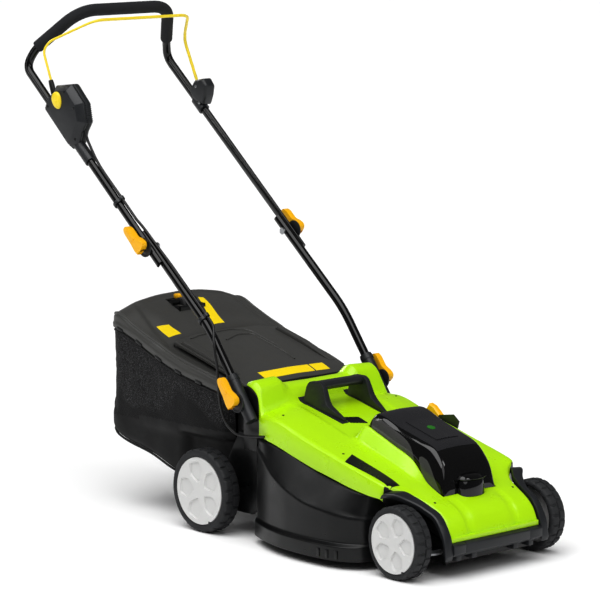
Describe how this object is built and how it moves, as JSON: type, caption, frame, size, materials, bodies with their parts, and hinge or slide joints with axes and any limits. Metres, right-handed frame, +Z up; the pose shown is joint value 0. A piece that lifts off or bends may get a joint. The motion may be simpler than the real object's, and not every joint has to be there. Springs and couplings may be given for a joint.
{
  "type": "lawn mower",
  "caption": "Walk-behind rotary mower: wheeled domed deck with hinged battery cover, rear flap, lift-off grass box and a two-stage folding tube handle with squeeze bail.",
  "frame": {"origin": "on the ground under the middle of the whole mower, handle up and grass box on", "axes": "+X towards the front wheels, +Y towards the left wheels, +Z up"},
  "size_m": [1.2892, 0.492, 1.0981],
  "materials": {
    "deckBlack": "fine grained black moulding",
    "trimBlack": "fine grained dark grey moulding",
    "green": "lime green moulding, satin gloss",
    "yellow": "yellow moulding, satin gloss",
    "wheelGrey": "light grey moulding",
    "tyreBlack": "moulded tread",
    "tubeBlack": "gloss black powder coat",
    "steel": "plain steel",
    "motorAlloy": "cast alloy",
    "foamBlack": "closed cell foam",
    "fabricBlack": "black mesh cloth",
    "lidGrey": "grained charcoal moulding",
    "coverBlack": "high gloss black",
    "batteryBlack": "black battery case",
    "keyRed": "red safety key"
  },
  "bodies": {
    "deck": {"deck_housing": "deckBlack", "hood_cover": "green", "front_bumper": "trimBlack", "arch_trim_right": "trimBlack", "arch_trim_left": "trimBlack", "carry_handle": "trimBlack", "handle_bracket_right": "deckBlack", "handle_bracket_left": "deckBlack", "motor": "motorAlloy", "battery_tray": "trimBlack", "battery_pack": "batteryBlack", "safety_key": "keyRed", "flap_rod": "steel", "height_quadrant": "trimBlack", "lead_deck": "trimBlack"},
    "battery_lid": {"battery_cover": "coverBlack"},
    "flap": {"rear_flap": "lidGrey"},
    "cutter": {"blade": "steel", "blade_carrier": "steel"},
    "rear_crank": {"rear_axle": "steel"},
    "front_crank": {"front_axle": "steel"},
    "height_control": {"height_lever": "steel", "height_knob": "yellow"},
    "front_wheel_right": {"front_tyre_right": "tyreBlack", "front_hub_right": "wheelGrey"},
    "front_wheel_left": {"front_tyre_left": "tyreBlack", "front_hub_left": "wheelGrey"},
    "rear_wheel_right": {"rear_tyre_right": "tyreBlack", "rear_hub_right": "wheelGrey"},
    "rear_wheel_left": {"rear_tyre_left": "tyreBlack", "rear_hub_left": "wheelGrey"},
    "lower_handle": {"lower_tube_right": "tubeBlack", "lower_tube_left": "tubeBlack", "tube_foot_right": "trimBlack", "tube_foot_left": "trimBlack", "lower_bolt_right": "steel", "lower_bolt_left": "steel", "lower_washer_right": "trimBlack", "lower_washer_left": "trimBlack", "lead_lower": "trimBlack", "cable_clip_lower": "trimBlack"},
    "upper_handle": {"handle_bar": "tubeBlack", "foam_grip": "foamBlack", "switch_box": "trimBlack", "switch_box_lid": "trimBlack", "bail_bracket": "trimBlack", "upper_bolt_right": "steel", "upper_bolt_left": "steel", "upper_washer_right": "trimBlack", "upper_washer_left": "trimBlack", "lead_upper": "trimBlack", "cable_clip_upper": "trimBlack"},
    "cam_lower_right": {"lower_lever_right": "yellow"},
    "cam_lower_left": {"lower_lever_left": "yellow"},
    "cam_upper_right": {"upper_lever_right": "yellow"},
    "cam_upper_left": {"upper_lever_left": "yellow"},
    "bail": {"bail_bar": "yellow"},
    "unlock_button": {"lock_button": "yellow"},
    "grass_box": {"bag_fabric": "fabricBlack", "bag_lid": "lidGrey"}
  },
  "joints": [
    {"name": "battery_cover_hinge", "type": "hinge", "parent": "deck", "child": "battery_lid", "pos_m": [0.34261, 0, 0.284], "axis": [0, 1, 0], "range_deg": [-75, 0]},
    {"name": "rear_flap_hinge", "type": "hinge", "parent": "deck", "child": "flap", "pos_m": [0.05461, 0, 0.315], "axis": [0, 1, 0], "range_deg": [0, 60]},
    {"name": "blade_spin", "type": "hinge", "parent": "deck", "child": "cutter", "pos_m": [0.30161, 0, 0.04], "axis": [0, 0, 1], "continuous": true},
    {"name": "rear_crank_turn", "type": "hinge", "parent": "deck", "child": "rear_crank", "pos_m": [0.01071, 0, 0.06753], "axis": [0, 1, 0], "range_deg": [-62, 0]},
    {"name": "front_crank_turn", "type": "hinge", "parent": "deck", "child": "front_crank", "pos_m": [0.59971, 0, 0.05253], "axis": [0, 1, 0], "range_deg": [-62, 0]},
    {"name": "height_lever_turn", "type": "hinge", "parent": "deck", "child": "height_control", "pos_m": [0.29161, 0.203, 0.212], "axis": [0, 1, 0], "range_deg": [0, 62]},
    {"name": "front_wheel_right_spin", "type": "hinge", "parent": "front_crank", "child": "front_wheel_right", "pos_m": [0.55561, -0.193, 0.075], "axis": [0, 1, 0], "continuous": true},
    {"name": "front_wheel_left_spin", "type": "hinge", "parent": "front_crank", "child": "front_wheel_left", "pos_m": [0.55561, 0.193, 0.075], "axis": [0, 1, 0], "continuous": true},
    {"name": "rear_wheel_right_spin", "type": "hinge", "parent": "rear_crank", "child": "rear_wheel_right", "pos_m": [-0.03339, -0.201, 0.09], "axis": [0, 1, 0], "continuous": true},
    {"name": "rear_wheel_left_spin", "type": "hinge", "parent": "rear_crank", "child": "rear_wheel_left", "pos_m": [-0.03339, 0.201, 0.09], "axis": [0, 1, 0], "continuous": true},
    {"name": "lower_handle_fold", "type": "hinge", "parent": "deck", "child": "lower_handle", "pos_m": [0.07861, 0, 0.296], "axis": [0, 1, 0], "range_deg": [0, 100]},
    {"name": "upper_handle_fold", "type": "hinge", "parent": "lower_handle", "child": "upper_handle", "pos_m": [-0.21539, 0, 0.5955], "axis": [0, 1, 0], "range_deg": [-130, 0]},
    {"name": "cam_lower_right_turn", "type": "hinge", "parent": "lower_handle", "child": "cam_lower_right", "pos_m": [0.07861, -0.2252, 0.296], "axis": [0.8, 0, 0.6], "range_deg": [0, 95]},
    {"name": "cam_lower_left_turn", "type": "hinge", "parent": "lower_handle", "child": "cam_lower_left", "pos_m": [0.07861, 0.2252, 0.296], "axis": [-0.8, 0, -0.6], "range_deg": [0, 95]},
    {"name": "cam_upper_right_turn", "type": "hinge", "parent": "upper_handle", "child": "cam_upper_right", "pos_m": [-0.21539, -0.23, 0.5955], "axis": [0.6478, 0, 0.7618], "range_deg": [0, 95]},
    {"name": "cam_upper_left_turn", "type": "hinge", "parent": "upper_handle", "child": "cam_upper_left", "pos_m": [-0.21539, 0.23, 0.5955], "axis": [-0.6478, 0, -0.7618], "range_deg": [0, 95]},
    {"name": "bail_squeeze", "type": "hinge", "parent": "upper_handle", "child": "bail", "pos_m": [-0.53539, 0, 0.905], "axis": [0, 1, 0], "range_deg": [-15, 0], "stiffness_Nm_per_rad": 0.8, "springref_deg": 14.32},
    {"name": "unlock_button_push", "type": "slide", "parent": "upper_handle", "child": "unlock_button", "axis": [0, 1, 0], "range_m": [0, 0.004], "stiffness_N_per_m": 400, "springref_m": -0.002},
    {"name": "grass_box_slide", "type": "slide", "parent": "deck", "child": "grass_box", "axis": [-0.9656, 0, 0.26], "range_m": [0, 0.2]}
  ],
  "couplings": [
    {"joint": "front_crank_turn", "follows": "rear_crank_turn", "ratio": 1},
    {"joint": "height_lever_turn", "follows": "rear_crank_turn", "ratio": -1}
  ]
}
